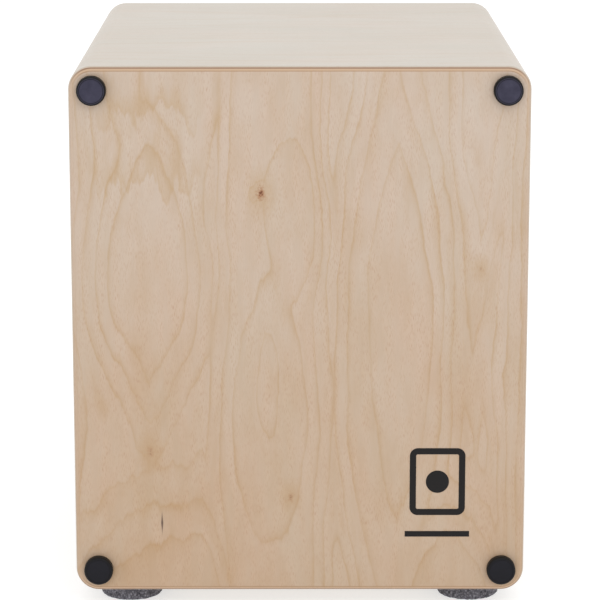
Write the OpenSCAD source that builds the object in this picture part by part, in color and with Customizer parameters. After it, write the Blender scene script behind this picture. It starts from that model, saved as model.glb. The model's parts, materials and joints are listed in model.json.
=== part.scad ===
// Large cajon: a plywood box drum with rubber feet on its base and on its front face,
// a sound hole at the rear, and a snare unit inside that a lever swings off the front plate.
// Millimetres. +Z is up, the front plate faces -Y, and the origin is the middle of the footprint.

/* [Box] */
// Width of the box
box_w = 390; // [370:5:410]
// Height of the box without its feet
box_h = 460; // [440:5:480]
// Depth of the box, front plate and rear plate included
box_d = 500; // [460:5:520]
// Thickness of the top, bottom and side boards
board_t = 15; // [14:0.5:16]
// Thickness of the front plate, which is played
plate_t = 3; // [2.5:0.5:4]
// Thickness of the rear plate
rear_t = 6; // [5:0.5:8]
// Radius of the rounding round the box's front and rear
edge_r = 6; // [5:0.5:7]
// Radius of the box's four long edges
corner_r = 20; // [19:0.5:22]

/* [Sound hole] */
// Diameter of the hole in the rear plate
hole_d = 120; // [110:5:130]
// Height of the hole's centre above the middle of the box
hole_rise = 45; // [30:5:60]

/* [Feet] */
// Diameter of the four pads under the base
pad_d = 54; // [50:1:58]
// Thickness of the pads under the base
pad_t = 15; // [13:0.5:17]
// Distance from the box's sides to a pad's centre
pad_inset = 46; // [42:1:50]
// Diameter of the four buttons on the front plate
button_d = 25; // [22:1:27]
// Height of a button above the front plate
button_t = 7; // [5:0.5:8]

/* [Inner frame] */
// Side of the square battens behind both plates
batten_s = 15; // [15:0.5:16]
// Leg of the triangular blocks in the long inner corners
corner_leg = 20; // [16:1:22]
// Height of the brace under the seat
brace_h = 30; // [20:1:34]
// Thickness of the brace under the seat
brace_t = 20; // [16:1:24]

/* [Snare unit] */
// Diameter of the turning bar
bar_d = 20; // [20:0.5:20.5]
// Height of the bar's axis above the middle of the box
bar_rise = 85; // [70:5:90]
// Angle that the lever turns through from on to off
throw_angle = 22; // [16:1:24]
// Number of wires in each snare set
wire_count = 10; // [6:1:10]
// Thickness of one coiled wire
wire_d = 2.4; // [2:0.1:2.6]
// Distance from the bar's axis to the lever's grip
lever_reach = 168; // [140:2:180]
// Diameter of the lever's rod
lever_d = 6; // [5:0.5:7]
// Diameter of the ball grip
grip_d = 26; // [22:1:30]

/* [Hidden] */
$fn = 96;
cut = 1; // how far a cutting tool runs past a face

// Places of the box's faces
half_w = box_w / 2;
half_h = box_h / 2;
total_d = box_d + button_t;
front_y = button_t - total_d / 2;
back_y = total_d / 2;
base_z = pad_t;
top_z = base_z + box_h;
mid_z = base_z + half_h;
inner_x = half_w - board_t;
inner_front = front_y + plate_t;
inner_back = back_y - rear_t;
inner_len = inner_back - inner_front;
inner_base = base_z + board_t;
inner_top = top_z - board_t;
inner_h = inner_top - inner_base;
middle_y = (inner_front + inner_back) / 2;

// Feet
pad_x = half_w - pad_inset;
pad_front = front_y + pad_inset;
pad_rear = back_y - pad_inset;
pad_chamfer = 1.5;
pad_bore_d = 5;
pad_recess_d = 18;
pad_recess_t = 7;
washer_d = 16;
washer_t = 1.5;
pad_screw_d = 4.5;
pad_screw_head_d = 9;
pad_screw_head_t = 3;
pad_screw_bite = 12;
button_x = half_w - corner_r;
button_rise = half_h - corner_r;
button_rim = 2;
stem_d = 8;
stem_bite = 9;
stem_len = plate_t + stem_bite;

// Sound hole
hole_z = mid_z + hole_rise;
hole_edge = 1;

// Printed mark: a plain pictogram of a box with a round hole, over a bar
mark_x = 119;
mark_z = 114;
mark_w = 48;
mark_h = 60;
mark_r = 7;
mark_line = 5.5;
mark_hole_d = 20;
mark_bar = [56, 5];
mark_bar_drop = 47;
mark_t = 0.2;

// Snare unit: the bar, its bearings and its stops
block_w = 22;
block_s = 46;
bar_y = inner_front + batten_s + block_s / 2;
bar_z = mid_z + bar_rise;
bar_end_gap = 1;
bar_len = 2 * (inner_x - bar_end_gap);
running_gap = 0.05;
bush_d = 26;
flange_d = 30;
flange_t = 2;
block_face_x = inner_x - block_w;
block_screw_d = 4;
block_screw_head_d = 8;
block_screw_head_t = 3;
block_screw_len = block_w + 11;
block_screw_off = 15.5;
peg_d = 5;
peg_seat = 10;
peg_len = 23;
peg_ring = 18.5;
peg_gap = 0.3;
pin_d = 5;
pin_x = block_face_x - 8;
pin_root = 4;
pin_tip = 22;
pin_angle = -90; // from +Y towards +Z, with the snares on
peg_angle = asin(((peg_d + pin_d) / 2 + peg_gap) / peg_ring);

// Snare sets: clips on flats of the bar, and straight wires whose tips lean on the front plate
set_x = 85;
flat_depth = 8.5;
clip_size = [60, 1.2, 12];
clip_screw_x = 26;
clip_screw_d = 3;
clip_screw_head_d = 5.5;
clip_screw_head_t = 2;
clip_screw_bite = 9;
wire_pitch = 4;
wire_root = -4;
wire_tip = 105;
plate_gap = 0.4;
wire_seat = flat_depth + clip_size[1];
wire_lean = asin((bar_y - inner_front - plate_gap) / norm([wire_seat + wire_d, wire_tip]))
    - atan2(wire_seat + wire_d, wire_tip); // from upright towards the front plate

// Lever
lever_angle = throw_angle / 2;
lever_root = -6;
nut_across = 10;
nut_t = 5;

left = -1;
right = 1;
top = 1;
bottom = -1;

// ---- Shapes that repeat ----

// Rectangle with round corners, centred
module rounded_rectangle(w, h, r) {
    square([w - 2 * r, h], center = true);
    square([w, h - 2 * r], center = true);
    for (x = [-1, 1], y = [-1, 1]) translate([x * (w / 2 - r), y * (h / 2 - r)]) circle(r);
}

// Section of a rounded edge: edge_r high, reaching out to x, quarter-round at its outer corner
module edge_section(x) {
    intersection() {
        union() {
            square([x - edge_r, edge_r]);
            translate([x - edge_r, 0]) circle(edge_r);
        }
        square([x, edge_r]);
    }
}

// A slab along Y with both of its long edges rounded
module edge_slab(half, len) {
    translate([0, len / 2, 0]) rotate([90, 0, 0]) linear_extrude(len) {
        edge_section(half);
        mirror([1, 0]) edge_section(half);
    }
}

// The last edge_r of the box's length, rounded all the way round: it stands on z = 0
module rounded_end() {
    flank = half_w - corner_r;
    rise = half_h - corner_r;
    edge_slab(half_w, 2 * rise);
    rotate([0, 0, 90]) edge_slab(half_h, 2 * flank);
    for (x = [0, 1], y = [0, 1])
        mirror([x, 0]) mirror([0, y])
            translate([flank, rise, 0]) rotate_extrude(angle = 90) edge_section(corner_r);
}

// Outer form of the box, solid, which the boards and both plates are cut from
module box_form() {
    stand_front(back_y - edge_r) linear_extrude(box_d - 2 * edge_r)
        rounded_rectangle(box_w, box_h, corner_r);
    stand_front(front_y + edge_r) rounded_end();
    stand_rear(back_y - edge_r) rounded_end();
}

// The stretch of the box's outer form from one depth to another
module form_slice(from, to) {
    intersection() {
        box_form();
        translate([-box_w, from, 0]) cube([2 * box_w, to - from, 2 * box_h]);
    }
}

// Stands a drawing in XY up into XZ, its +Z turned to the front
module stand_front(y) {
    translate([0, y, mid_z]) rotate([90, 0, 0]) children();
}

// Stands a drawing in XY up into XZ, its +Z turned to the rear
module stand_rear(y) {
    translate([0, y, mid_z]) rotate([90, 0, 180]) children();
}

// One mitred board of the shell, across wide and up from the middle, turned from the top
module shell_board(across, up, turn) {
    a = across / 2;
    b = up / 2;
    intersection() {
        box_form();
        stand_front(inner_back) linear_extrude(inner_len)
            rotate(turn) polygon([[-a, b], [a, b], [a - board_t, b - board_t], [board_t - a, b - board_t]]);
    }
}

module batten(size, at) {
    color("burlywood") translate(at) cube(size);
}

// The frame of four battens behind a plate, one at a time
module frame_upright(side, y) {
    x = side > 0 ? inner_x - batten_s : -inner_x;
    batten([batten_s, batten_s, inner_h], [x, y, inner_base]);
}

// A front upright also holds the ends of two button stems
module front_upright(side) {
    difference() {
        frame_upright(side, inner_front);
        for (level = [-1, 1]) at_button(side, level)
            translate([0, 0, -stem_len]) cylinder(d = stem_d, h = stem_len);
    }
}

module frame_rail(level, y) {
    z = level > 0 ? inner_top - batten_s : inner_base;
    batten([2 * (inner_x - batten_s), batten_s, batten_s], [batten_s - inner_x, y, z]);
}

// Triangular glue block along one long inner corner
module corner_block(side, level) {
    z = level > 0 ? inner_top : inner_base;
    color("wheat") translate([side * inner_x, inner_back - batten_s, z]) rotate([90, 0, 0])
        linear_extrude(inner_len - 2 * batten_s)
            polygon([[0, 0], [-side * corner_leg, 0], [0, -level * corner_leg]]);
}

module seat_brace() {
    len = 2 * (inner_x - corner_leg - 1);
    batten([len, brace_t, brace_h], [-len / 2, middle_y - brace_t / 2, inner_top - brace_h]);
}

module pan_screw(d, len, head_d, head_t) {
    translate([0, 0, -len]) cylinder(d = d, h = len);
    difference() {
        cylinder(d = head_d, h = head_t);
        cross_recess(head_d, head_t);
    }
}

module countersunk_screw(d, len, head_d, head_t) {
    translate([0, 0, -len]) cylinder(d = d, h = len - head_t);
    difference() {
        translate([0, 0, -head_t]) cylinder(d1 = d, d2 = head_d, h = head_t);
        cross_recess(head_d, 0);
    }
}

// Cross-shaped driver recess, cut down from a head's top
module cross_recess(head_d, level) {
    depth = 1.2;
    for (turn = [0, 90])
        rotate(turn) translate([-head_d * 0.3, -head_d * 0.06, level - depth])
            cube([head_d * 0.6, head_d * 0.12, depth + cut]);
}

// ---- Shell ----

module top_board() {
    color("burlywood") shell_board(box_w, box_h, 0);
}

module bottom_board() {
    color("burlywood") difference() {
        shell_board(box_w, box_h, 180);
        at_pads() translate([0, 0, base_z - cut]) cylinder(d = pad_screw_d, h = pad_screw_bite + cut);
    }
}

module side_board(side) {
    color("burlywood") difference() {
        shell_board(box_h, box_w, side > 0 ? -90 : 90);
        at_block_screws(side) translate([0, 0, -block_screw_len])
            cylinder(d = block_screw_d, h = block_screw_len);
    }
}

module front_plate() {
    color("wheat") difference() {
        form_slice(front_y, inner_front);
        for (x = [-1, 1], z = [-1, 1]) at_button(x, z)
            translate([0, 0, -stem_len]) cylinder(d = stem_d, h = stem_len + cut);
    }
}

module rear_plate() {
    color("wheat") difference() {
        form_slice(inner_back, back_y);
        translate([0, inner_back, hole_z]) rotate([-90, 0, 0]) sound_hole_cutter();
    }
}

// Hole through the rear plate with both of its edges rounded
module sound_hole_cutter() {
    r = hole_d / 2;
    rotate_extrude() difference() {
        translate([0, -cut]) square([r + hole_edge, rear_t + 2 * cut]);
        translate([r, hole_edge]) square([2 * hole_edge, rear_t - 2 * hole_edge]);
        for (z = [hole_edge, rear_t - hole_edge]) translate([r + hole_edge, z]) circle(hole_edge);
    }
}

// ---- Feet ----

module at_pads() {
    for (x = [-pad_x, pad_x], y = [pad_front, pad_rear]) translate([x, y, 0]) children();
}

module base_pad(side, y) {
    r = pad_d / 2;
    color("dimgray") translate([side * pad_x, y, 0]) difference() {
        rotate_extrude() polygon([[0, 0], [r - pad_chamfer, 0], [r, pad_chamfer], [r, pad_t], [0, pad_t]]);
        translate([0, 0, -cut]) cylinder(d = pad_recess_d, h = pad_recess_t + cut);
        cylinder(d = pad_bore_d, h = pad_t + cut);
    }
}

module pad_washers() {
    color("silver") at_pads() translate([0, 0, pad_recess_t - washer_t]) difference() {
        cylinder(d = washer_d, h = washer_t);
        translate([0, 0, -cut]) cylinder(d = pad_bore_d, h = washer_t + 2 * cut);
    }
}

module pad_screws() {
    head_z = pad_recess_t - washer_t;
    color("silver") at_pads() translate([0, 0, head_z]) mirror([0, 0, 1])
        pan_screw(pad_screw_d, base_z + pad_screw_bite - head_z, pad_screw_head_d, pad_screw_head_t);
}

// Frame of a button: origin on the front plate's face, +Z out of it
module at_button(side, level) {
    translate([side * button_x, front_y, mid_z + level * button_rise]) rotate([90, 0, 0]) children();
}

module front_button(side, level) {
    r = button_d / 2;
    color("black") at_button(side, level) rotate_extrude() intersection() {
        union() {
            square([r, button_t - button_rim]);
            square([r - button_rim, button_t]);
            translate([r - button_rim, button_t - button_rim]) circle(button_rim);
            translate([0, -stem_len]) square([stem_d / 2, stem_len]);
        }
        translate([0, -stem_len]) square([r, stem_len + button_t]);
    }
}

// ---- Printed mark ----

module printed_mark() {
    color("black") translate([mark_x, front_y, mark_z]) rotate([90, 0, 0]) linear_extrude(mark_t) {
        difference() {
            rounded_rectangle(mark_w, mark_h, mark_r);
            rounded_rectangle(mark_w - 2 * mark_line, mark_h - 2 * mark_line, mark_r - mark_line);
        }
        circle(d = mark_hole_d);
        translate([0, -mark_bar_drop]) square(mark_bar, center = true);
    }
}

// ---- Snare unit: pieces fixed to the box ----

// Frame on the bar's axis: origin at its middle, +X along it
module on_bar_axis() {
    translate([0, bar_y, bar_z]) children();
}

// Frame of each block screw: origin at its head's top, +Z towards the middle of the box
module at_block_screws(side) {
    on_bar_axis() for (s = [-1, 1])
        translate([side * block_face_x, -s * block_screw_off, s * block_screw_off])
            rotate([0, -90 * side, 0]) children();
}

module bearing_block(side) {
    color("burlywood") difference() {
        on_bar_axis() translate([side * (block_face_x + block_w / 2), 0, 0])
            cube([block_w, block_s, block_s], center = true);
        on_bar_axis() rotate([0, 90 * side, 0])
            translate([0, 0, block_face_x - cut]) cylinder(d = bush_d, h = block_w + 2 * cut);
        at_block_screws(side) {
            translate([0, 0, -block_screw_len]) cylinder(d = block_screw_d, h = block_screw_len + cut);
            translate([0, 0, -block_screw_head_t])
                cylinder(d1 = block_screw_d, d2 = block_screw_head_d, h = block_screw_head_t);
        }
        if (side > 0) for (turn = [peg_angle, -throw_angle - peg_angle]) at_peg(turn) peg();
    }
}

module bearing_bush(side) {
    color("ivory") on_bar_axis() rotate([0, 90 * side, 0]) translate([0, 0, block_face_x]) difference() {
        union() {
            cylinder(d = bush_d, h = block_w);
            translate([0, 0, -flange_t]) cylinder(d = flange_d, h = flange_t);
        }
        translate([0, 0, -flange_t - cut])
            cylinder(r = bar_d / 2 + running_gap, h = block_w + flange_t + 2 * cut);
    }
}

module block_screws() {
    color("silver") for (side = [left, right]) at_block_screws(side)
        countersunk_screw(block_screw_d, block_screw_len, block_screw_head_d, block_screw_head_t);
}

// Frame of a stop peg: turn is its angle from the stop pin, +Z towards the middle of the box
module at_peg(turn) {
    a = pin_angle + turn;
    on_bar_axis() translate([block_face_x + peg_seat, peg_ring * cos(a), peg_ring * sin(a)])
        rotate([0, -90, 0]) children();
}

module peg() {
    cylinder(d = peg_d, h = peg_len);
}

module stop_peg(turn) {
    color("silver") at_peg(turn) peg();
}

// ---- Snare unit: pieces that turn ----

module snare_bar() {
    color("peru") difference() {
        on_bar_axis() rotate([0, 90, 0]) cylinder(d = bar_d, h = bar_len, center = true);
        for (side = [left, right]) {
            clip_flat(side);
            at_clip_screws(side) translate([0, 0, -clip_size[1] - clip_screw_bite])
                cylinder(d = clip_screw_d, h = clip_screw_bite + clip_size[1] + cut);
        }
        along_lever() translate([0, 0, lever_root]) cylinder(d = lever_d, h = bar_d);
        along_stop_pin() cylinder(d = pin_d, h = bar_d);
    }
}

// Frame of a snare set: origin on the bar's axis, +Z along the wires, -Y away from the clip's flat
module at_set(side) {
    on_bar_axis() translate([side * set_x, 0, 0]) rotate([wire_lean, 0, 0]) children();
}

// Flat on the bar that a clip is screwed to
module clip_flat(side) {
    w = clip_size[0] + 2;
    at_set(side) translate([-w / 2, -flat_depth - bar_d, -bar_d]) cube([w, bar_d, 2 * bar_d]);
}

module along_lever() {
    on_bar_axis() rotate([lever_angle - 90, 0, 0]) children();
}

module along_stop_pin() {
    on_bar_axis() translate([pin_x, 0, 0]) rotate([pin_angle - 90, 0, 0])
        translate([0, 0, pin_root]) children();
}

module stop_pin() {
    color("silver") along_stop_pin() cylinder(d = pin_d, h = pin_tip - pin_root);
}

module snare_clip(side) {
    color("silver") difference() {
        at_set(side) translate([0, -flat_depth - clip_size[1] / 2, 0]) cube(clip_size, center = true);
        at_clip_screws(side) translate([0, 0, -2 * clip_size[1]]) cylinder(d = clip_screw_d, h = 3 * clip_size[1]);
    }
}

// Frame of each clip screw: origin under its head, +Z towards the front plate
module at_clip_screws(side) {
    at_set(side) for (x = [-clip_screw_x, clip_screw_x])
        translate([x, -wire_seat, 0]) rotate([90, 0, 0]) children();
}

module clip_screws() {
    color("silver") for (side = [left, right]) at_clip_screws(side)
        pan_screw(clip_screw_d, clip_size[1] + clip_screw_bite, clip_screw_head_d, clip_screw_head_t);
}

// One wire set: bars of the coiled wires' outer size, soldered side by side to the clip
module snare_wires(side) {
    middle = (wire_count - 1) / 2;
    color("gainsboro") at_set(side) for (i = [0:wire_count - 1])
        translate([(i - middle) * wire_pitch - wire_d / 2, -wire_seat - wire_d, wire_root])
            cube([wire_d, wire_d, wire_tip - wire_root]);
}

module throw_lever() {
    color("silver") along_lever() translate([0, 0, lever_root])
        cylinder(d = lever_d, h = lever_reach - lever_root);
}

module lever_nut() {
    color("silver") along_lever() translate([0, 0, bar_d / 2]) difference() {
        cylinder(d = nut_across / cos(30), h = nut_t, $fn = 6);
        translate([0, 0, -cut]) cylinder(d = lever_d, h = nut_t + 2 * cut);
    }
}

module lever_grip() {
    color("saddlebrown") along_lever() translate([0, 0, lever_reach]) difference() {
        sphere(d = grip_d);
        translate([0, 0, -grip_d]) cylinder(d = lever_d, h = grip_d);
    }
}

top_board();
bottom_board();
side_board(left);  // left_board
side_board(right);  // right_board
front_plate();
rear_plate();
frame_rail(top, inner_front);  // front_batten_top
frame_rail(bottom, inner_front);  // front_batten_bottom
front_upright(left);  // front_batten_left
front_upright(right);  // front_batten_right
frame_rail(top, inner_back - batten_s);  // rear_batten_top
frame_rail(bottom, inner_back - batten_s);  // rear_batten_bottom
frame_upright(left, inner_back - batten_s);  // rear_batten_left
frame_upright(right, inner_back - batten_s);  // rear_batten_right
corner_block(left, top);  // corner_block_top_left
corner_block(right, top);  // corner_block_top_right
corner_block(left, bottom);  // corner_block_bottom_left
corner_block(right, bottom);  // corner_block_bottom_right
seat_brace();
base_pad(left, pad_front);  // base_pad_front_left
base_pad(right, pad_front);  // base_pad_front_right
base_pad(left, pad_rear);  // base_pad_rear_left
base_pad(right, pad_rear);  // base_pad_rear_right
pad_washers();
pad_screws();
front_button(left, top);  // front_button_top_left
front_button(right, top);  // front_button_top_right
front_button(left, bottom);  // front_button_bottom_left
front_button(right, bottom);  // front_button_bottom_right
printed_mark();
bearing_block(left);  // bearing_block_left
bearing_block(right);  // bearing_block_right
bearing_bush(left);  // bearing_bush_left
bearing_bush(right);  // bearing_bush_right
block_screws();
stop_peg(peg_angle);  // stop_peg_on
stop_peg(-throw_angle - peg_angle);  // stop_peg_off
snare_bar();
stop_pin();
snare_clip(left);  // snare_clip_left
snare_clip(right);  // snare_clip_right
clip_screws();
snare_wires(left);  // snare_wires_left
snare_wires(right);  // snare_wires_right
throw_lever();
lever_nut();
lever_grip();
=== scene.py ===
"""Looks of the cajon: materials, coiled snare wires, moulded buttons, granulated pads, light and camera.

Lengths are in metres. X runs across the struck face, Y from that face to the rear plate, and Z upwards
from the floor.
"""

import json
import math
import random

import bpy
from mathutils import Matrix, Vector, noise


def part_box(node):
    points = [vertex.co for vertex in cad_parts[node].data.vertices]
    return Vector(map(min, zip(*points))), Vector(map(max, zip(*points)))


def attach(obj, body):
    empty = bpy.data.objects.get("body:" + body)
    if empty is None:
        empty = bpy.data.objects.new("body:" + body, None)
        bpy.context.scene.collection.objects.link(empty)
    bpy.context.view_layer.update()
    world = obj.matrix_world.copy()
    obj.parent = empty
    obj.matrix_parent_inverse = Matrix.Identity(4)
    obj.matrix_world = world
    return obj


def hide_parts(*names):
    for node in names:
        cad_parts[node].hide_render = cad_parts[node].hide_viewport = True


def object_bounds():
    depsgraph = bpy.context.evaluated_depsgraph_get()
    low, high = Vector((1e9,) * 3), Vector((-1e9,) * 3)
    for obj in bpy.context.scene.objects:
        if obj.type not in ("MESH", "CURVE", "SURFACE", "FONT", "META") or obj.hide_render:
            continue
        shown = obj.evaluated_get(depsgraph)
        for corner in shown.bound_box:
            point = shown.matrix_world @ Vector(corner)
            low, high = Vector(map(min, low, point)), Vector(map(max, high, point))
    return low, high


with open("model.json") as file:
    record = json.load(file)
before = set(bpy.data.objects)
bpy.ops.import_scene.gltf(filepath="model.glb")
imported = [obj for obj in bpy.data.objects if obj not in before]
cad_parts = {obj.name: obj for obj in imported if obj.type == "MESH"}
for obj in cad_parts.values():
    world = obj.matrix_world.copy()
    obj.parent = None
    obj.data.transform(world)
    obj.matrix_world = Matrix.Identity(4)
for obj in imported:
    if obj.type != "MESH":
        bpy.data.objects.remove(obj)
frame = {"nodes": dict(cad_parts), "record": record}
cad_low, cad_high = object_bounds()

MM = 0.001
SEED = 11

# Places that the materials and pieces hang on, taken from the frame
FACE_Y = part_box("front_plate")[0].y
REAR_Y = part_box("rear_plate")[1].y
TOP_Z = cad_high.z


# ---- Node graphs ----

class Graph:
    """A material's node tree, with one short call for each node."""

    def __init__(self, name):
        self.material = bpy.data.materials.new(name)
        self.material.use_nodes = True
        self.tree = self.material.node_tree
        self.tree.nodes.clear()
        self.where = self.add("TexCoord").outputs["Object"]

    def add(self, kind, inputs=None, **settings):
        node = self.tree.nodes.new("ShaderNode" + kind)
        for key, value in settings.items():
            setattr(node, key, value)
        for key, value in (inputs or {}).items():
            self.feed(node.inputs[key], value)
        return node

    def feed(self, socket, value):
        if isinstance(value, bpy.types.NodeSocket):
            self.tree.links.new(value, socket)
        else:
            socket.default_value = value

    def math(self, operation, *values):
        inputs = dict(enumerate(values))
        return self.add("Math", inputs, operation=operation).outputs[0]

    def vector(self, operation, *values, out="Vector"):
        inputs = dict(enumerate(values))
        return self.add("VectorMath", inputs, operation=operation).outputs[out]

    def split(self, vector):
        return self.add("SeparateXYZ", {0: vector}).outputs

    def join(self, x=0.0, y=0.0, z=0.0):
        return self.add("CombineXYZ", {0: x, 1: y, 2: z}).outputs[0]

    def grey(self, value):
        """The same value in all three channels."""
        return self.join(value, value, value)

    def noise(self, where, scale=1.0, detail=2.0, roughness=0.5, stretch=(1, 1, 1), out="Fac"):
        placed = self.vector("MULTIPLY", where, stretch)
        inputs = {"Vector": placed, "Scale": scale, "Detail": detail, "Roughness": roughness}
        return self.add("TexNoise", inputs).outputs[out]

    def ramp(self, factor, stops):
        """Straight grey ramp through (position, value) stops."""
        node = self.add("ValToRGB", {0: factor})
        node.color_ramp.interpolation = "LINEAR"
        elements = node.color_ramp.elements
        while len(elements) < len(stops):
            elements.new(0.5)
        for element, (position, value) in zip(elements, stops):
            element.position = position
            element.color = (value, value, value, 1)
        return node.outputs["Color"]

    def span(self, value, low, high, to_low=0.0, to_high=1.0):
        """Takes low to to_low and high to to_high, and goes no further at either end."""
        inputs = {"Value": value, "From Min": low, "From Max": high, "To Min": to_low, "To Max": to_high}
        return self.add("MapRange", inputs).outputs["Result"]

    def mix(self, factor, a, b, blend="MIX"):
        node = self.add("Mix", data_type="RGBA", blend_type=blend)
        self.feed(node.inputs[0], factor)
        self.feed(node.inputs[6], a)
        self.feed(node.inputs[7], b)
        return node.outputs[2]

    def bump(self, height, distance, strength=1.0):
        inputs = {"Height": height, "Distance": distance, "Strength": strength}
        return self.add("Bump", inputs).outputs[0]

    def finish(self, colour, roughness, normal=None, **shader):
        """Closes the graph with one Principled shader, whose constants are set on its own sockets."""
        surface = self.add("BsdfPrincipled", {"Base Color": colour, "Roughness": roughness})
        for key, value in shader.items():
            surface.inputs[key.replace("_", " ")].default_value = value
        if normal is not None:
            self.feed(surface.inputs["Normal"], normal)
        self.add("OutputMaterial", {"Surface": surface.outputs[0]}, target="ALL")
        return self.material


def rgb(red, green, blue):
    """Linear colour from the 0 to 255 values that a screen shows."""
    def linear(v):
        v /= 255
        return v / 12.92 if v <= 0.04045 else ((v + 0.055) / 1.055) ** 2.4
    return (linear(red), linear(green), linear(blue), 1.0)


# ---- Birch veneer ----

PALE = rgb(194, 180, 163)
WARM = rgb(186, 163, 137)
SHELL_PALE = rgb(186, 177, 162)
SHELL_WARM = rgb(178, 166, 147)
BLUSH = rgb(202, 172, 152)
LINE = rgb(175, 143, 97)
KNOT = rgb(150, 92, 44)
HEART = rgb(98, 46, 8)
BARK = rgb(70, 44, 30)
PLY_DARK = rgb(160, 122, 90)
PLY_PALE = rgb(206, 178, 146)
# Painted light and shade: the struck face is multiplied by these at its top and at the floor, so it is
# painted lighter above and darker and warmer below
PAINTED_LIGHT_ABOVE = (1.0, 0.99, 1.02, 1)
PAINTED_SHADE_BELOW = (0.905, 0.81, 0.715, 1)

# How a noise is scaled across the grain, along it and by the seed. The second number draws it out.
CLOUDY = (1.0, 0.5, 1.0)
PATCHY = (1.0, 0.3, 1.0)
STREAKY = (1.0, 0.12, 1.0)
FIBROUS = (1.0, 0.05, 1.0)

# How far the growth rings wander across and along the grain: in wide sweeps, then in small waves
SWAY = (0.022, 0.045, 0.0)
RIPPLE = (0.0055, 0.012, 0.0)
# A noise is 0.5 on average, so half of both is taken off again
WANDER_MEAN = tuple((sway + ripple) / 2 for sway, ripple in zip(SWAY, RIPPLE))
# How far the rings' small teeth reach along the grain
JAG = 0.024

# Height field of the rings: its lowest level, and how softly its hills flatten and join
VALLEY = 3.2
SOFT_TOP = 0.4
SOFT_JOIN = 0.8

# Darkness from one growth line to the next: it fades slowly after a line, and rises quickly to it
RING_STOPS = [(0.0, 0.85), (0.06, 0.52), (0.19, 0.18), (0.42, 0.0), (0.89, 0.0), (0.955, 0.3), (1.0, 0.85)]


def height_field(graph, across, along, figure):
    """Field whose contour lines are growth rings, with one flat-topped hill for each
    (across, along, half width, half length, height, slope, point).

    Point 0 gives oval loops and 1 the pointed loops of a cathedral figure. A half width may be a pair,
    for the left and the right."""
    total = None
    for x, z, half_x, half_z, height, slope, point in figure:
        left, right = half_x if isinstance(half_x, tuple) else (half_x, half_x)
        beside = graph.math("SUBTRACT", across, x)
        u = graph.math("MAXIMUM", graph.math("DIVIDE", beside, -left), graph.math("DIVIDE", beside, right))
        v = graph.math("MULTIPLY_ADD", along, 1 / half_z, -z / half_z)
        uu = graph.math("MULTIPLY", u, u)
        vv = graph.math("MULTIPLY", v, v)
        oval = graph.math("SQRT", graph.math("ADD", uu, vv))
        spindle = graph.math("ADD", u, graph.math("SQRT", graph.math("MULTIPLY_ADD", vv, 4.0, uu)))
        away = graph.math("MULTIPLY_ADD", spindle, 0.5 * point, graph.math("MULTIPLY", oval, 1 - point))
        away = graph.math("SMOOTH_MAX", away, 1.0, SOFT_TOP)
        hill = graph.math("MULTIPLY_ADD", away, -slope, height + slope)
        total = hill if total is None else graph.math("SMOOTH_MAX", total, hill, SOFT_JOIN)
    return graph.math("SMOOTH_MAX", total, VALLEY, SOFT_JOIN)


def growth_field(graph, where, figure):
    """The height field, seen through a grain that sways, ripples and has small teeth."""
    sway = graph.noise(where, scale=14.0, detail=1.0, roughness=0.5, stretch=CLOUDY, out="Color")
    ripple = graph.noise(where, scale=60.0, detail=4.0, roughness=0.65, stretch=CLOUDY, out="Color")
    moved = graph.vector("MULTIPLY_ADD", sway, SWAY, where)
    moved = graph.vector("MULTIPLY_ADD", ripple, RIPPLE, moved)
    moved = graph.vector("SUBTRACT", moved, WANDER_MEAN)
    across, along = graph.split(moved)[0:2]
    jag = graph.noise(where, scale=105.0, detail=3.0, roughness=0.6, stretch=STREAKY)
    along = graph.math("MULTIPLY_ADD", graph.math("SUBTRACT", jag, 0.5), JAG, along)
    return height_field(graph, across, along, figure)


def growth_rings(graph, where, field):
    """Darkness of the rings along the field's contours, broad and faint in places, fine in others."""
    drift = graph.noise(where, scale=26.0, detail=1.0, roughness=0.5, stretch=PATCHY)
    drift = graph.math("SUBTRACT", drift, 0.5)
    phase = graph.math("FRACT", graph.math("MULTIPLY_ADD", drift, 0.5, field))
    ring = graph.ramp(phase, RING_STOPS)
    worn = graph.noise(where, scale=22.0, detail=3.0, roughness=0.6, stretch=CLOUDY)
    ring = graph.math("POWER", ring, graph.span(worn, 0.35, 0.65, 0.75, 1.5))
    return graph.math("MULTIPLY", ring, graph.span(worn, 0.35, 0.65, 1.0, 0.35))


def sapwood(graph, where, pale, warm):
    """Ground colour in soft clouds and fine mottling between pale and warm, with a pink blush."""
    cloud = graph.noise(where, scale=8.0, detail=3.0, roughness=0.6, stretch=CLOUDY)
    blush = graph.noise(where, scale=21.0, detail=2.0, roughness=0.6, stretch=PATCHY)
    mottle = graph.noise(where, scale=62.0, detail=3.0, roughness=0.65, stretch=PATCHY)
    colour = graph.mix(graph.span(cloud, 0.3, 0.7, 0.0, 0.9), pale, warm)
    colour = graph.mix(graph.span(blush, 0.35, 0.7, 0.0, 0.25), colour, BLUSH)
    colour = graph.mix(graph.span(mottle, 0.5, 0.72, 0.0, 0.5), colour, warm)
    return graph.mix(graph.span(mottle, 0.5, 0.28, 0.0, 0.4), colour, pale)


def pores(graph, across, along, flame):
    """Short fine dashes along the grain, at random places and faint where the flame noise is low."""
    place = graph.join(across, graph.math("MULTIPLY", along, 0.08))
    cells = graph.add("TexVoronoi", {"Vector": place, "Scale": 1400.0}, voronoi_dimensions="2D")
    dash = graph.span(cells.outputs["Distance"], 0.24, 0.08)
    return graph.math("MULTIPLY", dash, graph.span(flame, 0.35, 0.65))


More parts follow.
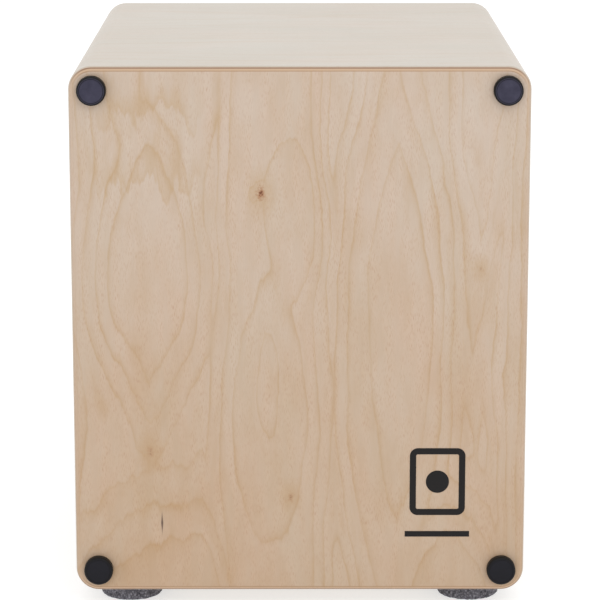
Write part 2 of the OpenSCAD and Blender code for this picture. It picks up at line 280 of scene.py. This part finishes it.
def paint_knots(graph, where, colour, knots):
    """Ragged knots, each (across, along, size, darkness), with a tan halo and a dark heart."""
    across, along = graph.split(where)[0:2]
    ragged = graph.noise(where, scale=330.0, detail=3.0, roughness=0.7)
    ragged = graph.math("SUBTRACT", ragged, 0.5)
    for x, z, size, dark in knots:
        u = graph.math("SUBTRACT", across, x)
        v = graph.math("MULTIPLY", graph.math("SUBTRACT", along, z), 0.6)
        away = graph.vector("LENGTH", graph.join(u, v, 0.0), out="Value")
        away = graph.math("MULTIPLY_ADD", ragged, size * 2.2, away)
        colour = graph.mix(graph.span(away, size * 3.2, size * 0.3, 0.0, 0.45), colour, LINE)
        colour = graph.mix(graph.span(away, size * 0.85, size * 0.05, 0.0, dark), colour, KNOT)
        colour = graph.mix(graph.span(away, size * 0.22, size * 0.05, 0.0, dark), colour, HEART)
    return colour


def veneer(graph, across, along, figure, knots=(), colours=(PALE, WARM), strength=0.68, seed=0.0):
    """Colour, relief and fibre noise of rotary-cut birch, whose grain runs along the second coordinate.

    Strength is how dark the rings are, and the seed moves every noise."""
    where = graph.join(across, along, seed)
    field = growth_field(graph, where, figure)
    ring = growth_rings(graph, where, field)
    # Faint bands that follow the layers between the rings
    layer = graph.join(field, graph.math("MULTIPLY", across, 16.0), graph.math("MULTIPLY", along, 8.0))
    band = graph.noise(layer, scale=1.1, detail=3.0, roughness=0.6)
    band = graph.span(band, 0.48, 0.7, 0.0, 0.28)
    fibre = graph.noise(where, scale=900.0, detail=2.0, roughness=0.6, stretch=FIBROUS)
    flame = graph.noise(where, scale=150.0, detail=2.0, roughness=0.5, stretch=STREAKY)
    pore = pores(graph, across, along, flame)

    colour = sapwood(graph, where, *colours)
    colour = graph.mix(graph.math("MULTIPLY", band, strength), colour, LINE)
    colour = graph.mix(graph.math("MULTIPLY", ring, strength), colour, LINE)
    fine = graph.span(fibre, 0.25, 0.75, 0.975, 1.02)
    coarse = graph.span(flame, 0.3, 0.7, -0.02, 0.02)
    colour = graph.mix(1.0, colour, graph.grey(graph.math("ADD", fine, coarse)), "MULTIPLY")
    colour = graph.mix(graph.math("MULTIPLY", pore, 0.45), colour, KNOT)
    if knots:
        colour = paint_knots(graph, where, colour, knots)

    relief = graph.math("MULTIPLY_ADD", ring, -0.4, fibre)
    relief = graph.math("MULTIPLY_ADD", pore, -0.8, relief)
    return colour, relief, fibre


# How far one ply blends into the next, in millimetres
PLY_BLUR = 0.12


def ply_edge(graph, depth, colour, plies, side_strength):
    """Paints the plies over the colour, by depth in millimetres: each is (from, to, colour).

    The side strength is how strongly they show along the upright edges, against the top and bottom."""
    normal = graph.split(graph.add("NewGeometry").outputs["Normal"])
    sideways, upward = graph.math("ABSOLUTE", normal[0]), graph.math("ABSOLUTE", normal[2])
    share = graph.math("DIVIDE", sideways, graph.math("ADD", graph.math("ADD", sideways, upward), 0.01))
    shown = graph.span(share, 0.3, 0.8, 1.0, side_strength)
    for start, end, ply in plies:
        after_start = graph.span(depth, start - PLY_BLUR, start + PLY_BLUR)
        before_end = graph.span(depth, end + PLY_BLUR, end - PLY_BLUR)
        inside = graph.math("MULTIPLY", after_start, before_end)
        colour = graph.mix(graph.math("MULTIPLY", inside, shown), colour, ply)
    return colour


def lacquered(graph, colour, relief, fibre, shine=0.42, coat=0.12):
    """Thin satin lacquer that lets the grain's relief through. Shine is the middle roughness."""
    roughness = graph.span(fibre, 0.2, 0.8, shine - 0.05, shine + 0.06)
    normal = graph.bump(relief, 0.05 * MM, 0.6)
    return graph.finish(colour, roughness, normal, Coat_Weight=coat, Coat_Roughness=0.28)


# A sliver of bark near the foot of the struck face: its middle, half length and half width
SLIVER_X = -0.1195
SLIVER_Z = 0.077
SLIVER_HALF_LENGTH = 0.0125
SLIVER_HALF_WIDTH = 0.0012

# Wavy bands at the upper left of the struck face: their middle, their levels and how far they swing
FLAME_X = -0.130
FLAME_LEVELS = (0.436, 0.378)
FLAME_SWING = 0.16


def flames(graph, x, z, colour):
    """Wavy tan bands, sharp below and soft above, where the knife ran nearly along the rings."""
    wave = graph.noise(graph.where, scale=46.0, detail=3.0, roughness=0.62, stretch=(1.0, 0.0, 0.22))
    wave = graph.math("MULTIPLY_ADD", wave, FLAME_SWING, -FLAME_SWING / 2)
    beside = graph.math("ABSOLUTE", graph.math("SUBTRACT", x, FLAME_X))
    share = graph.span(beside, 0.056, 0.028, 0.0, 0.42)
    for level in FLAME_LEVELS:
        over = graph.math("ADD", wave, graph.math("SUBTRACT", z, level))
        band = graph.math("MULTIPLY", graph.span(over, -0.004, 0.002), graph.span(over, 0.032, 0.0))
        colour = graph.mix(graph.math("MULTIPLY", band, share), colour, LINE)
    return colour


def bark_sliver(graph, x, z, colour):
    """A dark sliver of bark, tapered to both ends."""
    beside = graph.math("ABSOLUTE", graph.math("SUBTRACT", x, SLIVER_X))
    beyond = graph.math("ABSOLUTE", graph.math("SUBTRACT", z, SLIVER_Z))
    away = graph.math("MULTIPLY_ADD", beyond, SLIVER_HALF_WIDTH / SLIVER_HALF_LENGTH, beside)
    return graph.mix(graph.span(away, 0.0013, 0.0005, 0.0, 0.9), colour, BARK)


def front_veneer():
    """The struck face: upright grain with tall loops, with painted shade that makes it darker and warmer
    towards the floor.
    """
    graph = Graph("birch_front")
    x, y, z = graph.split(graph.where)
    # Across, along, half width, half length, height, slope, point
    figure = [
        (-0.128, 0.310, 0.028, 0.090, 7.5, 2.6, 0.7),
        (-0.124, 0.600, 0.052, 0.340, 5.9, 5.0, 0.5),
        (-0.148, 0.520, 0.014, 0.080, 6.5, 1.5, 0.9),
        (-0.010, 0.345, 0.019, 0.068, 7.5, 3.0, 0.2),
        (-0.026, 0.175, 0.028, 0.095, 7.5, 2.6, 0.2),
        (-0.024, 0.250, 0.034, 0.700, 6.5, 5.0, 0.0),
        (-0.028, 0.199, 0.007, 0.034, 8.4, 1.0, 0.1),
        (-0.033, 0.365, 0.006, 0.008, 7.5, 1.0, 0.3),
        (0.0855, 0.252, 0.024, 0.146, 7.5, 2.6, 0.9),
        (0.080, 0.235, 0.039, 0.240, 6.5, 5.0, 0.75),
        (-0.084, -0.020, (0.080, 0.016), 0.074, 7.5, 2.2, 0.45),
        (-0.145, 0.145, 0.045, 0.022, 4.5, 1.0, 0.0),
        (0.152, 0.560, 0.016, 0.190, 6.5, 2.0, 0.9),
        (0.225, 0.180, 0.036, 0.700, 7.5, 4.6, 0.2),
        (-0.240, 0.190, 0.036, 0.110, 6.5, 3.0, 0.3),
        (0.130, -0.020, 0.030, 0.070, 7.5, 2.6, 0.2),
    ]
    # Across, along, size, darkness
    knots = [
        (-0.033, 0.367, 0.0052, 0.85),
        (-0.008, 0.1000, 0.0036, 0.3),
        (-0.129, 0.141, 0.0044, 0.3),
        (0.154, 0.302, 0.0030, 0.12),
    ]
    colour, relief, fibre = veneer(graph, x, z, figure, knots)
    colour = flames(graph, x, z, colour)
    # Painted light and shade: lighter at the top and darker and warmer towards the floor, as if lit from
    # above
    lower = graph.math("POWER", graph.span(z, TOP_Z, 0.0), 1.3)
    painted_light_falloff = graph.mix(lower, PAINTED_LIGHT_ABOVE, PAINTED_SHADE_BELOW)
    colour = graph.mix(1.0, colour, painted_light_falloff, "MULTIPLY")
    colour = bark_sliver(graph, x, z, colour)
    depth = graph.math("DIVIDE", graph.math("SUBTRACT", y, FACE_Y), MM)
    plies = [(0.3, 0.6, rgb(158, 122, 90)), (0.6, 1.5, rgb(190, 160, 130)), (1.5, 2.7, rgb(140, 106, 80))]
    colour = ply_edge(graph, depth, colour, plies, 0.12)
    return lacquered(graph, colour, relief, fibre)


def rear_veneer():
    """The rear plate: the same birch in a calmer figure, with more and thicker plies."""
    graph = Graph("birch_rear")
    x, y, z = graph.split(graph.where)
    # Across, along, half width, half length, height, slope, point
    figure = [
        (0.095, 0.220, 0.030, 0.150, 7.5, 2.6, 0.9),
        (0.090, 0.200, 0.040, 0.700, 6.5, 4.4, 0.1),
        (-0.105, 0.330, 0.026, 0.080, 7.5, 2.6, 0.5),
        (-0.095, 0.240, 0.042, 0.600, 6.5, 4.4, 0.1),
        (-0.010, 0.030, 0.030, 0.100, 6.5, 2.6, 0.2),
        (-0.225, 0.150, 0.040, 0.700, 7.5, 4.6, 0.2),
    ]
    knots = [(0.062, 0.12, 0.003, 0.8)]
    colour, relief, fibre = veneer(graph, x, z, figure, knots, seed=3.0)
    depth = graph.math("DIVIDE", graph.math("SUBTRACT", REAR_Y, y), MM)
    plies = [(0.6, 1.8, PLY_DARK), (1.8, 3.0, PLY_PALE), (3.0, 4.2, PLY_DARK), (4.2, 5.4, PLY_PALE)]
    colour = ply_edge(graph, depth, colour, plies, 0.9)
    return lacquered(graph, colour, relief, fibre)


def shell_veneer(name, side=0.0):
    """The shell's skin, whose grain runs round the box and turns down its sides with the surface.

    Side is -1 for the left board, 1 for the right board and 0 for the top and bottom."""
    graph = Graph(name)
    x, y, z = graph.split(graph.where)
    along = graph.math("MULTIPLY_ADD", graph.math("SUBTRACT", TOP_Z, z), side, x)
    # Across, along, half width, half length, height, slope, point
    figure = [
        (-0.120, 0.020, 0.040, 0.240, 7.5, 2.0, 0.8),
        (-0.110, 0.000, 0.050, 1.200, 6.5, 3.0, 0.1),
        (0.130, -0.300, 0.040, 0.260, 7.5, 2.0, 0.8),
        (0.130, 0.350, 0.040, 0.260, 7.5, 2.0, 0.8),
        (0.140, 0.000, 0.050, 1.200, 6.5, 3.0, 0.1),
    ]
    colours = (SHELL_PALE, SHELL_WARM)
    colour, relief, fibre = veneer(graph, y, along, figure, colours=colours, strength=0.42, seed=7.0)
    return lacquered(graph, colour, relief, fibre, shine=0.36, coat=0.45)


# ---- Other woods ----

SPRUCE, SPRUCE_DARK = rgb(222, 196, 156), rgb(190, 152, 108)
BEECH, BEECH_DARK = rgb(206, 168, 128), rgb(178, 136, 98)
WALNUT, WALNUT_DARK = rgb(112, 72, 46), rgb(70, 42, 26)
# Growth rings in a metre of softwood and of hardwood
SPRUCE_RINGS = 260.0
HARDWOOD_RINGS = 420.0


def planed_wood(name, pale, dark, rings, grain):
    """Straight-grained wood, whose grain runs along X, Y or Z."""
    graph = Graph(name)
    axis = "XYZ".index(grain)
    stretch = [1.0, 1.0, 1.0]
    stretch[axis] = 0.05
    warp = graph.noise(graph.where, scale=24.0, detail=2.0, roughness=0.5, stretch=stretch)
    parts = graph.split(graph.where)
    across = [parts[i] for i in range(3) if i != axis]
    lines = graph.math("ADD", across[0], graph.math("MULTIPLY", across[1], 0.6))
    lines = graph.math("ADD", lines, graph.math("MULTIPLY", warp, 0.02))
    phase = graph.math("FRACT", graph.math("MULTIPLY", lines, rings))
    ring = graph.ramp(phase, [(0.0, 0.9), (0.25, 0.3), (1.0, 0.0)])
    fibre = graph.noise(graph.where, scale=700.0, detail=2.0, roughness=0.6, stretch=stretch)
    colour = graph.mix(graph.math("MULTIPLY", ring, graph.span(warp, 0.2, 0.8, 0.3, 0.9)), pale, dark)
    colour = graph.mix(1.0, colour, graph.grey(graph.span(fibre, 0.25, 0.75, 0.92, 1.05)), "MULTIPLY")
    normal = graph.bump(fibre, 0.08 * MM, 0.7)
    return graph.finish(colour, graph.span(fibre, 0.2, 0.8, 0.52, 0.68), normal)


# ---- Rubber, ink, metal and nylon ----

# Linear colours
ZINC = (0.72, 0.73, 0.75)
STEEL = (0.66, 0.66, 0.67)
WIRE = (0.70, 0.69, 0.67)
# The rim colour is painted shade; the faces' bluish greys are a painted reflection of the surroundings,
# scuffed in places
RUBBER_RIM_SHADE = (0.004, 0.003, 0.003, 1)
RUBBER_FACE = (0.024, 0.0225, 0.041, 1)
RUBBER_SCUFF = (0.038, 0.036, 0.060, 1)
CRUMB_DARK = (0.045, 0.043, 0.055, 1)
CRUMB_PALE = (0.30, 0.29, 0.33, 1)
CRUMB_GAP_SHADE = (0.022, 0.021, 0.026, 1)
INK = (0.010, 0.009, 0.009, 1)
INK_PALE = (0.018, 0.016, 0.016, 1)


def black_rubber():
    """Moulded rubber: the flat faces carry a painted reflection in bluish grey with scuffs in it, brighter
    on the upper buttons, and the rims are painted in dark shade.
    """
    graph = Graph("black_rubber")
    grain = graph.noise(graph.where, scale=2600.0, detail=3.0, roughness=0.6)
    wear = graph.noise(graph.where, scale=120.0, detail=3.0, roughness=0.6)
    scuff_and_painted_reflection = graph.mix(graph.span(wear, 0.35, 0.7), RUBBER_FACE, RUBBER_SCUFF)
    # Painted reflection: the faces are darker low down and brighter on the upper buttons
    height = graph.split(graph.where)[2]
    scuff_and_painted_reflection = graph.mix(1.0, scuff_and_painted_reflection, graph.grey(graph.span(height, 0.0, TOP_Z, 0.1, 1.25)), "MULTIPLY")
    # Painted shade: surfaces that turn away from the front, the rims, take the near-black rim colour, and
    # the flat faces keep the painted reflection
    facing = graph.math("ABSOLUTE", graph.split(graph.add("NewGeometry").outputs["Normal"])[1])
    colour = graph.mix(graph.span(facing, 0.93, 0.995), RUBBER_RIM_SHADE, scuff_and_painted_reflection)
    roughness = graph.span(wear, 0.3, 0.7, 0.5, 0.62)
    return graph.finish(colour, roughness, graph.bump(grain, 0.03 * MM, 0.5), Specular_IOR_Level=0.22)


def granulated_rubber():
    """Bonded granules: dark crumbs of a few greys, with painted shade in the pits between them."""
    graph = Graph("granulated_rubber")
    crumb = graph.add("TexVoronoi", {"Vector": graph.where, "Scale": 560.0, "Randomness": 1.0})
    tone = graph.split(crumb.outputs["Color"])[0]
    cloud = graph.noise(graph.where, scale=260.0, detail=3.0, roughness=0.65)
    tone = graph.math("ADD", graph.math("MULTIPLY", tone, 0.6), graph.math("MULTIPLY", cloud, 0.5))
    colour = graph.mix(graph.span(tone, 0.15, 0.9), CRUMB_DARK, CRUMB_PALE)
    height = graph.span(crumb.outputs["Distance"], 0.2, 0.75, 1.0, 0.0)
    # Painted shade: the pits between the granules are darkened
    pit_shade = graph.math("MULTIPLY", graph.math("SUBTRACT", 1.0, height), 0.6)
    colour = graph.mix(pit_shade, colour, CRUMB_GAP_SHADE)
    return graph.finish(colour, 0.86, graph.bump(height, 0.5 * MM, 0.8), Specular_IOR_Level=0.3)


def black_ink():
    """Matt printing ink with a faint screen texture."""
    graph = Graph("black_ink")
    weave = graph.noise(graph.where, scale=1400.0, detail=2.0, roughness=0.6)
    colour = graph.mix(weave, INK, INK_PALE)
    roughness = graph.span(weave, 0.3, 0.7, 0.5, 0.65)
    return graph.finish(colour, roughness, graph.bump(weave, 0.02 * MM, 0.4), Specular_IOR_Level=0.15)


def metal(name, colour, roughness, brush=(1, 1, 1), scale=900.0):
    """Bare metal with fine scratches and duller clouds. Brush draws the scratches out."""
    graph = Graph(name)
    scratch = graph.noise(graph.where, scale=scale, detail=3.0, roughness=0.65, stretch=brush)
    cloud = graph.noise(graph.where, scale=90.0, detail=3.0, roughness=0.6)
    dull = tuple(0.72 * c for c in colour)
    tone = graph.mix(graph.span(cloud, 0.35, 0.75, 0.0, 0.5), (*colour, 1), (*dull, 1))
    fine = graph.span(scratch, 0.25, 0.75, roughness - 0.06, roughness + 0.08)
    coarse = graph.span(cloud, 0.3, 0.7, -0.03, 0.06)
    normal = graph.bump(scratch, 0.02 * MM, 0.4)
    return graph.finish(tone, graph.math("ADD", fine, coarse), normal, Metallic=1.0)


def nylon():
    """Natural nylon, slightly translucent."""
    graph = Graph("nylon")
    cloud = graph.noise(graph.where, scale=300.0, detail=3.0, roughness=0.6)
    colour = graph.mix(graph.span(cloud, 0.35, 0.7), rgb(232, 228, 215), rgb(220, 214, 198))
    roughness = graph.span(cloud, 0.3, 0.7, 0.34, 0.48)
    depth = (0.002, 0.002, 0.002)
    return graph.finish(
        colour, roughness, graph.bump(cloud, 0.03 * MM, 0.4),
        Subsurface_Weight=0.08, Subsurface_Radius=depth, Subsurface_Scale=1.0,
    )


def make_slots():
    """Materials by slot, for every node of the slot and for the pieces built over them."""
    return {
        "pad_rubber": granulated_rubber(),
        "zinc_steel": metal("zinc_steel", ZINC, roughness=0.32),
        "black_rubber": black_rubber(),
        "block_wood": planed_wood("beech_block", BEECH, BEECH_DARK, HARDWOOD_RINGS, grain="Y"),
        "nylon": nylon(),
        "bright_steel": metal("bright_steel", STEEL, roughness=0.26, brush=(1, 0.04, 1), scale=1600.0),
        "snare_steel": metal("snare_steel", WIRE, roughness=0.22),
    }


def paint_nodes(slots):
    """Gives every CAD node a material: its own, its slot's, or spruce along its length."""
    finishes = {
        "top_board": shell_veneer("birch_top"),
        "bottom_board": shell_veneer("birch_bottom"),
        "left_board": shell_veneer("birch_left", -1.0),
        "right_board": shell_veneer("birch_right", 1.0),
        "front_plate": front_veneer(),
        "rear_plate": rear_veneer(),
        "printed_mark": black_ink(),
        "snare_bar": planed_wood("beech_bar", BEECH, BEECH_DARK, HARDWOOD_RINGS, grain="X"),
        "lever_grip": planed_wood("walnut_grip", WALNUT, WALNUT_DARK, HARDWOOD_RINGS, grain="Y"),
    }
    upright = planed_wood("spruce_upright", SPRUCE, SPRUCE_DARK, SPRUCE_RINGS, grain="Z")
    rail = planed_wood("spruce_rail", SPRUCE, SPRUCE_DARK, SPRUCE_RINGS, grain="X")
    block = planed_wood("spruce_block", SPRUCE, SPRUCE_DARK, SPRUCE_RINGS, grain="Y")
    for part in frame["record"]["subparts"]:
        name = part["node"]
        if name.startswith("corner_block"):
            spruce = block
        elif name.endswith(("_left", "_right")):
            spruce = upright
        else:
            spruce = rail
        node = frame["nodes"][name]
        node.data.materials.clear()
        node.data.materials.append(finishes.get(name) or slots.get(part["material_slot"]) or spruce)


# ---- Pieces built over the CAD's plain solids ----

def add_piece(name, body, nodes, finish, points, faces):
    """A smooth mesh object that stands in for the nodes and moves with the body."""
    mesh = bpy.data.meshes.new(name)
    mesh.from_pydata(points, [], faces)
    mesh.update()
    mesh.materials.append(finish)
    mesh.polygons.foreach_set("use_smooth", [True] * len(mesh.polygons))
    piece = bpy.data.objects.new(name, mesh)
    bpy.context.scene.collection.objects.link(piece)
    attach(piece, body)
    if nodes:
        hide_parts(*nodes)
    return piece


def strip_faces(rows, around, closed_rows=False):
    """Quads between neighbouring rings of points, each ring having the same number of points."""
    faces = []
    for row in range(rows if closed_rows else rows - 1):
        after = (row + 1) % rows
        for i in range(around):
            j = (i + 1) % around
            faces.append((row * around + i, row * around + j, after * around + j, after * around + i))
    return faces


def end_caps(rows, around):
    """The faces that close the first and the last ring."""
    last = (rows - 1) * around
    return [tuple(reversed(range(around))), tuple(last + i for i in range(around))]


def middle_and_radius(name):
    """Middle and radius of a round node, and its box's lowest and highest corners."""
    low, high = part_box(name)
    return (low + high) / 2, (high.x - low.x) / 2, low, high


def resample(profile, step):
    """Points along a closed (radius, height) profile, at most a step apart."""
    result = []
    for start, end in zip(profile, profile[1:] + profile[:1]):
        start, end = Vector(start), Vector(end)
        count = max(1, math.ceil((end - start).length / step))
        result += [start.lerp(end, i / count) for i in range(count)]
    return result


# Pads: size of a granule, how deep the pits between granules are, and the points' spacing
GRANULE = 2.2 * MM
PIT_DEPTH = 0.55 * MM
PAD_STEP = 0.9 * MM
PAD_AROUND = 168
# The screw's bore and recess and the lower edge's chamfer, as in the CAD model
PAD_BORE_R = 2.5 * MM
PAD_RECESS_R = 9 * MM
PAD_RECESS_T = 7 * MM
PAD_CHAMFER = 1.5 * MM


def base_pad(name, finish):
    """Granulated rubber foot with its screw recess: the crumbs are pressed into the CAD's outline."""
    middle, r, low, high = middle_and_radius(name)
    t = high.z - low.z
    profile = [
        (PAD_BORE_R, PAD_RECESS_T), (PAD_RECESS_R, PAD_RECESS_T), (PAD_RECESS_R, 0),
        (r - PAD_CHAMFER, 0), (r, PAD_CHAMFER), (r, t), (PAD_BORE_R, t),
    ]
    rings = resample(profile, PAD_STEP)
    foot = Vector((middle.x, middle.y, low.z))
    # Pits sink towards a ring inside the pad, and stay off its recess and its upper face
    core_r = 0.72 * r
    smooth_r = PAD_RECESS_R + 0.5 * MM
    smooth_t = 0.5 * MM
    points = []
    for radius, height in rings:
        for i in range(PAD_AROUND):
            turn = math.tau * i / PAD_AROUND
            arm = Vector((math.cos(turn), math.sin(turn), 0))
            place = foot + arm * radius + Vector((0, 0, height))
            if radius > smooth_r and t - height > smooth_t:
                # A granule's middle stays out, and the gaps around it sink in
                between = noise.voronoi(place / GRANULE)[0][0]
                dent = PIT_DEPTH * min(1.0, max(0.0, between * 1.6 - 0.35))
                core = foot + arm * core_r + Vector((0, 0, t / 2))
                place += (core - place).normalized() * dent
            points.append(place)
    faces = strip_faces(len(rings), PAD_AROUND, True)
    piece = add_piece(name + "_granules", "box", [name], finish, points, faces)


BUTTON_AROUND = 96
BUTTON_RIM_STEPS = 8
BUTTON_RIM_R = 2 * MM
BUTTON_STEM_R = 4 * MM
# The button's face lies a little below its rim, with a groove between them and a gate mark at its middle
FACE_SUNK = 0.04 * MM
GROOVE_DEPTH = 0.3 * MM
GATE_DEPTH = 0.1 * MM


def front_button(name, finish):
    """Moulded rubber button: sunk face, fine groove, rounded rim, and a stem into the batten."""
    middle, r, low, high = middle_and_radius(name)
    out = FACE_Y - low.y
    flat, groove = out - FACE_SUNK, out - GROOVE_DEPTH
    rim_start = r - BUTTON_RIM_R
    profile = [(0.5 * MM, out - GATE_DEPTH), (0.8 * MM, flat), (1.1 * MM, flat)]
    profile += [(rim_start - 0.7 * MM, flat), (rim_start - 0.5 * MM, flat)]
    profile += [(rim_start - 0.4 * MM, groove), (rim_start - 0.25 * MM, groove), (rim_start - 0.1 * MM, out)]
    for i in range(BUTTON_RIM_STEPS + 1):
        turn = math.pi / 2 * (1 - i / BUTTON_RIM_STEPS)
        height = out - BUTTON_RIM_R + BUTTON_RIM_R * math.sin(turn)
        profile.append((rim_start + BUTTON_RIM_R * math.cos(turn), height))
    profile += [(r, 0.0), (BUTTON_STEM_R, 0.0), (BUTTON_STEM_R, FACE_Y - high.y)]
    points = []
    for radius, height in profile:
        for i in range(BUTTON_AROUND):
            turn = math.tau * i / BUTTON_AROUND
            arm = Vector((radius * math.cos(turn), 0, radius * math.sin(turn)))
            points.append(arm + Vector((middle.x, FACE_Y - height, middle.z)))
    faces = strip_faces(len(profile), BUTTON_AROUND) + end_caps(len(profile), BUTTON_AROUND)
    piece = add_piece(name + "_moulded", "box", [name], finish, points, faces)


WIRES_PER_SET = 10
COIL_WIRE = 0.55 * MM
COIL_PITCH = 1.9 * MM
COIL_OUT = 2.4 * MM
COIL_STEPS = 12
WIRE_SIDES = 6
# The straight root of each wire, under the solder, and the solder's middle, thickness and reach
SOLDER_LEN = 8 * MM
SOLDER_AT = 3.5 * MM
SOLDER_RISE = 1.05 * MM
SOLDER_REACH = 2.4 * MM
SOLDER_INSET = 1.0 * MM
SOLDER_ROWS = 72
SOLDER_AROUND = 12


def add_tube(path, radius, sides, points, faces):
    """Adds a closed tube along the path to the lists."""
    first = len(points)
    for i, place in enumerate(path):
        ahead = path[min(i + 1, len(path) - 1)] - path[max(i - 1, 0)]
        ahead.normalize()
        level = Vector((1, 0, 0)) if abs(ahead.x) < 0.8 else Vector((0, 0, 1))
        across = ahead.cross(level).normalized()
        up = ahead.cross(across)
        for k in range(sides):
            turn = math.tau * k / sides
            points.append(place + radius * (math.cos(turn) * across + math.sin(turn) * up))
    for face in strip_faces(len(path), sides) + end_caps(len(path), sides):
        faces.append(tuple(first + corner for corner in face))


def longest_edge(name):
    """The longest edge of a CAD node, as a vector that points upwards."""
    mesh = frame["nodes"][name].data
    ends = [(mesh.vertices[edge.vertices[0]].co, mesh.vertices[edge.vertices[1]].co) for edge in mesh.edges]
    root, tip = max(ends, key=lambda pair: (pair[1] - pair[0]).length)
    return (tip - root) if tip.z > root.z else (root - tip)


def snare_set(name, finish):
    """Coiled wires side by side, each straight where it is soldered to its clip."""
    low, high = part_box(name)
    middle = (low + high) / 2
    along = longest_edge(name)
    length = along.length
    along.normalize()
    side = Vector((1, 0, 0))
    front = side.cross(along)
    radius = (COIL_OUT - COIL_WIRE) / 2
    coil_len = length - COIL_WIRE - SOLDER_LEN
    steps = int(coil_len / COIL_PITCH * COIL_STEPS)
    random.seed(SEED)
    points, faces = [], []
    for i in range(WIRES_PER_SET):
        x = low.x + COIL_OUT / 2 + (high.x - low.x - COIL_OUT) * i / (WIRES_PER_SET - 1)
        start = Vector((x, middle.y, middle.z)) - along * (length / 2 - COIL_WIRE / 2)
        phase = random.uniform(0, math.tau)
        path = [start, start + along * SOLDER_LEN * 0.6]
        for k in range(steps + 1):
            turn = phase + math.tau * k / COIL_STEPS
            # The coil opens out over its first turn and draws in at its tip
            grow = min(1.0, k / COIL_STEPS, (steps - k) / COIL_STEPS + 0.25)
            arm = grow * radius * (math.cos(turn) * side + math.sin(turn) * front)
            path.append(start + along * (SOLDER_LEN + coil_len * k / steps) + arm)
        add_tube(path, COIL_WIRE / 2, WIRE_SIDES, points, faces)
    piece = add_piece(name + "_coils", "snare_unit", [name], finish, points, faces)
    solder_bead(name, middle - along * (length / 2 - SOLDER_AT), along, front, high.x - low.x, finish)


def solder_bead(name, middle, along, front, width, finish):
    """Uneven line of solder that joins the wires' roots to the clip."""
    points = []
    for row in range(SOLDER_ROWS):
        x = (row / (SOLDER_ROWS - 1) - 0.5) * (width - SOLDER_INSET)
        # Both ends of the bead round off
        closing = min(1.0, 0.25 + 8 * min(row, SOLDER_ROWS - 1 - row) / SOLDER_ROWS)
        lump = 1 + 0.25 * noise.noise(Vector((x / (2 * MM), 3.0, middle.x * 40)))
        for k in range(SOLDER_AROUND):
            turn = math.tau * k / SOLDER_AROUND
            out = SOLDER_RISE * closing * math.sin(turn)
            up = SOLDER_REACH * closing * lump * math.cos(turn)
            points.append(middle + Vector((x, 0, 0)) + front * out + along * up)
    faces = strip_faces(SOLDER_ROWS, SOLDER_AROUND) + end_caps(SOLDER_ROWS, SOLDER_AROUND)
    piece = add_piece(name + "_solder", "snare_unit", [], finish, points, faces)


# ---- Camera, light and floor ----

# In front of the struck face and above the top, looking down a little. Angles are in degrees.
EYE = Vector((-0.0035, -2.5465, 0.776))
PITCH = 12.29
YAW = -0.09
LENS = 165.6

FLOOR_HALF = 30.0
FLOOR_GLOW = 0.6


def make_camera():
    camera = bpy.data.cameras.new("camera")
    camera.lens = LENS
    camera.clip_end = 100
    holder = bpy.data.objects.new("camera", camera)
    holder.location = EYE
    holder.rotation_euler = (math.radians(90 - PITCH), 0, math.radians(YAW))
    bpy.context.scene.collection.objects.link(holder)
    bpy.context.scene.camera = holder


def softbox(name, place, target, size, power):
    """Rectangular lamp of size (width, height) that faces the target, with its power in watts."""
    light = bpy.data.lights.new(name, "AREA")
    light.shape = "RECTANGLE"
    light.size, light.size_y = size
    light.energy = power
    holder = bpy.data.objects.new(name, light)
    holder.location = place
    holder.visible_camera = False
    direction = Vector(target) - Vector(place)
    holder.rotation_euler = direction.to_track_quat("-Z", "Y").to_euler()
    bpy.context.scene.collection.objects.link(holder)


def make_light():
    """White surroundings, two large soft lamps and a weak one inside the box, for the snares."""
    world = bpy.data.worlds.new("studio")
    world.use_nodes = True
    background = world.node_tree.nodes["Background"]
    background.inputs["Color"].default_value = (1.0, 1.0, 1.0, 1)
    background.inputs["Strength"].default_value = 1.0
    bpy.context.scene.world = world
    softbox("overhead", place=(0.2, -1.0, 3.0), target=(0, 0, 0.2), size=(2.4, 2.4), power=12)
    softbox("front", place=(0.9, -3.0, 2.3), target=(0, 0, 0.4), size=(1.6, 1.6), power=8)
    softbox("inside", place=(0, 0.16, 0.40), target=(0, -0.2, 0.25), size=(0.16, 0.06), power=0.5)


def make_floor():
    """Pale floor that glows a little, so that it stays nearly white around the contact shadow."""
    graph = Graph("floor")
    mottle = graph.noise(graph.where, scale=3.0, detail=4.0, roughness=0.6)
    colour = graph.mix(mottle, (0.50, 0.50, 0.50, 1), (0.53, 0.53, 0.53, 1))
    glow = (1, 1, 1, 1)
    finish = graph.finish(
        colour, 0.9, Specular_IOR_Level=0.1, Emission_Color=glow, Emission_Strength=FLOOR_GLOW,
    )
    corners = [(-1, -1), (1, -1), (1, 1), (-1, 1)]
    mesh = bpy.data.meshes.new("floor")
    mesh.from_pydata([(x * FLOOR_HALF, y * FLOOR_HALF, 0) for x, y in corners], [], [(0, 1, 2, 3)])
    mesh.materials.append(finish)
    floor = bpy.data.objects.new("floor", mesh)
    bpy.context.scene.collection.objects.link(floor)


make_camera()
make_light()
make_floor()
slots = make_slots()
paint_nodes(slots)
for hand in ("left", "right"):
    for end in ("front", "rear"):
        base_pad(f"base_pad_{end}_{hand}", slots["pad_rubber"])
    for level in ("top", "bottom"):
        front_button(f"front_button_{level}_{hand}", slots["black_rubber"])
    snare_set(f"snare_wires_{hand}", slots["snare_steel"])

scene = bpy.context.scene
scene.view_settings.view_transform = "Standard"
scene.view_settings.look = "None"
